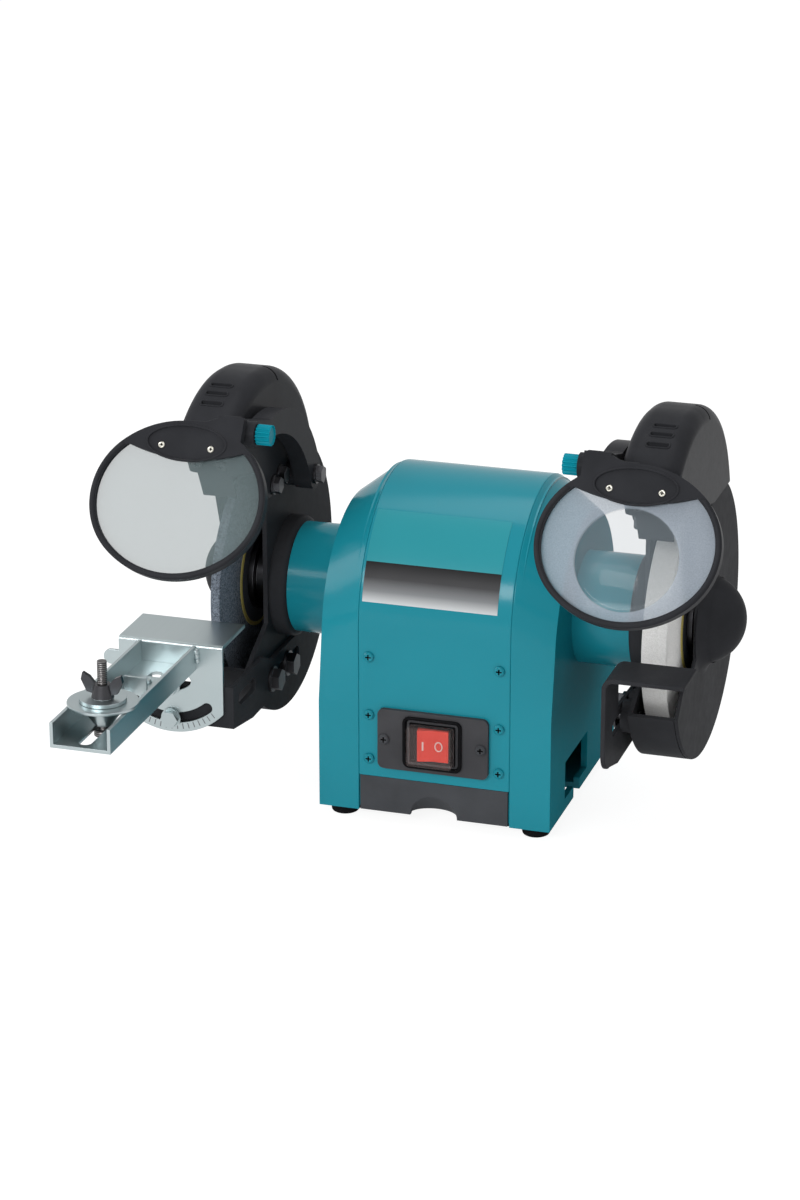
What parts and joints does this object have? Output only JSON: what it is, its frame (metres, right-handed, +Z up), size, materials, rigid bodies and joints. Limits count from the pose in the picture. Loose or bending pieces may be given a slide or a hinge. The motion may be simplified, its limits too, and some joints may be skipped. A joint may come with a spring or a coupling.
{
  "type": "bench grinder",
  "caption": "Bench grinder with two wheels on one motor spindle, guards, tilting eye shields, a sliding tool rest, a tilting drill rest and a coolant tray.",
  "frame": {"origin": "On the bench top, midway along the spindle and straight below it", "axes": "X along the spindle to the right, Y to the rear, Z up"},
  "size_m": [0.4064, 0.358, 0.2836],
  "materials": {
    "teal_paint": "gloss",
    "black_paint": "satin",
    "black_plastic": "fine grain",
    "grey_plastic": "fine grain",
    "teal_plastic": "gloss",
    "red_plastic": "gloss",
    "clear_plastic": "clear",
    "frosted_plastic": "frosted",
    "zinc": "zinc plated",
    "steel": "machined",
    "dark_steel": "black oxide",
    "bearing_steel": "polished",
    "rubber": "matt",
    "grey_abrasive": "coarse grain",
    "white_abrasive": "fine grain",
    "paper": "matt",
    "laminations": "bare",
    "copper": "varnished",
    "aluminium": "plain"
  },
  "bodies": {
    "housing": {"wrap_cover": "teal_paint", "base_plate": "black_paint", "rubber_feet": "rubber", "foot_screws": "steel", "housing_screws": "teal_paint", "guard_screws": "dark_steel", "switch_plate": "black_plastic", "switch_body": "black_plastic", "switch_boot": "clear_plastic", "stator_core": "laminations", "stator_windings": "copper", "capacitor": "aluminium", "capacitor_clamp": "zinc", "cord_gland": "rubber", "bearings": "bearing_steel", "cap_bolts": "dark_steel", "arm_bolts": "dark_steel", "arrester_screws": "dark_steel", "rest_bolts": "dark_steel", "left_end_frame": "teal_paint", "left_guard": "black_paint", "left_guard_cover": "black_paint", "left_dust_cap": "black_plastic", "left_shield_arm": "black_plastic", "right_end_frame": "teal_paint", "right_guard": "black_paint", "right_guard_cover": "black_paint", "right_dust_cap": "black_plastic", "right_shield_arm": "black_plastic"},
    "spindle_set": {"spindle": "steel", "rotor_core": "laminations", "cooling_fan": "black_plastic", "inner_flanges": "steel", "left_wheel": "grey_abrasive", "right_wheel": "white_abrasive", "blotters": "paper", "outer_flanges": "steel", "spindle_nuts": "steel"},
    "rocker": {"switch_rocker": "red_plastic"},
    "tray": {"coolant_tray": "grey_plastic"},
    "left_shield": {"left_shield_frame": "black_plastic", "left_shield_lens": "clear_plastic", "left_shield_screws": "zinc"},
    "right_shield": {"right_shield_frame": "black_plastic", "right_shield_lens": "frosted_plastic", "right_shield_screws": "zinc"},
    "left_knob": {"left_shield_knob": "teal_plastic"},
    "right_knob": {"right_shield_knob": "teal_plastic"},
    "left_arrester": {"left_spark_arrester": "black_paint"},
    "right_arrester": {"right_spark_arrester": "black_paint"},
    "left_bracket": {"left_rest_bracket": "black_paint", "swivel_bolts": "zinc"},
    "left_table": {"left_rest_table": "zinc", "left_rest_channel": "zinc"},
    "drill_clamp": {"clamp_stud": "zinc", "clamp_dish": "zinc"},
    "wing_nut": {"wing_nut": "dark_steel"},
    "drill_stop": {"drill_stop": "zinc", "stop_screw": "zinc"},
    "right_rest": {"right_rest": "black_paint"}
  },
  "joints": [
    {"name": "spindle_spin", "type": "hinge", "parent": "housing", "child": "spindle_set", "pos_m": [0, 0, 0.132], "axis": [1, 0, 0], "continuous": true},
    {"name": "switch_rocker_tilt", "type": "hinge", "parent": "housing", "child": "rocker", "pos_m": [0, -0.08, 0.0602], "axis": [0, 0, 1], "range_deg": [-16, 0]},
    {"name": "coolant_tray_slide", "type": "slide", "parent": "housing", "child": "tray", "axis": [0, -1, 0], "range_m": [0, 0.09]},
    {"name": "left_shield_tilt", "type": "hinge", "parent": "housing", "child": "left_shield", "pos_m": [0, -0.121, 0.267], "axis": [1, 0, 0], "range_deg": [-50, 12]},
    {"name": "left_knob_turn", "type": "hinge", "parent": "housing", "child": "left_knob", "pos_m": [0, -0.121, 0.267], "axis": [1, 0, 0], "range_deg": [-180, 180]},
    {"name": "left_arrester_slide", "type": "slide", "parent": "housing", "child": "left_arrester", "axis": [0, 0.4833, -0.8755], "range_m": [0, 0.01]},
    {"name": "right_shield_tilt", "type": "hinge", "parent": "housing", "child": "right_shield", "pos_m": [0, -0.121, 0.267], "axis": [1, 0, 0], "range_deg": [-50, 12]},
    {"name": "right_knob_turn", "type": "hinge", "parent": "housing", "child": "right_knob", "pos_m": [0, -0.121, 0.267], "axis": [1, 0, 0], "range_deg": [-180, 180]},
    {"name": "right_arrester_slide", "type": "slide", "parent": "housing", "child": "right_arrester", "axis": [0, 0.4833, -0.8755], "range_m": [0, 0.01]},
    {"name": "left_rest_slide", "type": "slide", "parent": "housing", "child": "left_bracket", "axis": [0, -1, 0], "range_m": [0, 0.02]},
    {"name": "left_table_tilt", "type": "hinge", "parent": "left_bracket", "child": "left_table", "pos_m": [-0.163, -0.119, 0.11], "axis": [0, 1, 0], "range_deg": [-30, 30]},
    {"name": "drill_clamp_slide", "type": "slide", "parent": "left_table", "child": "drill_clamp", "axis": [0, 1, 0], "range_m": [-0.025, 0.026]},
    {"name": "wing_nut_turn", "type": "hinge", "parent": "drill_clamp", "child": "wing_nut", "pos_m": [-0.165, -0.229, 0.13], "axis": [0, 0, 1], "range_deg": [-180, 180]},
    {"name": "drill_stop_slide", "type": "slide", "parent": "left_table", "child": "drill_stop", "axis": [0, 1, 0], "range_m": [-0.01, 0.015]},
    {"name": "right_rest_slide", "type": "slide", "parent": "housing", "child": "right_rest", "axis": [0, -1, 0], "range_m": [0, 0.02]}
  ]
}
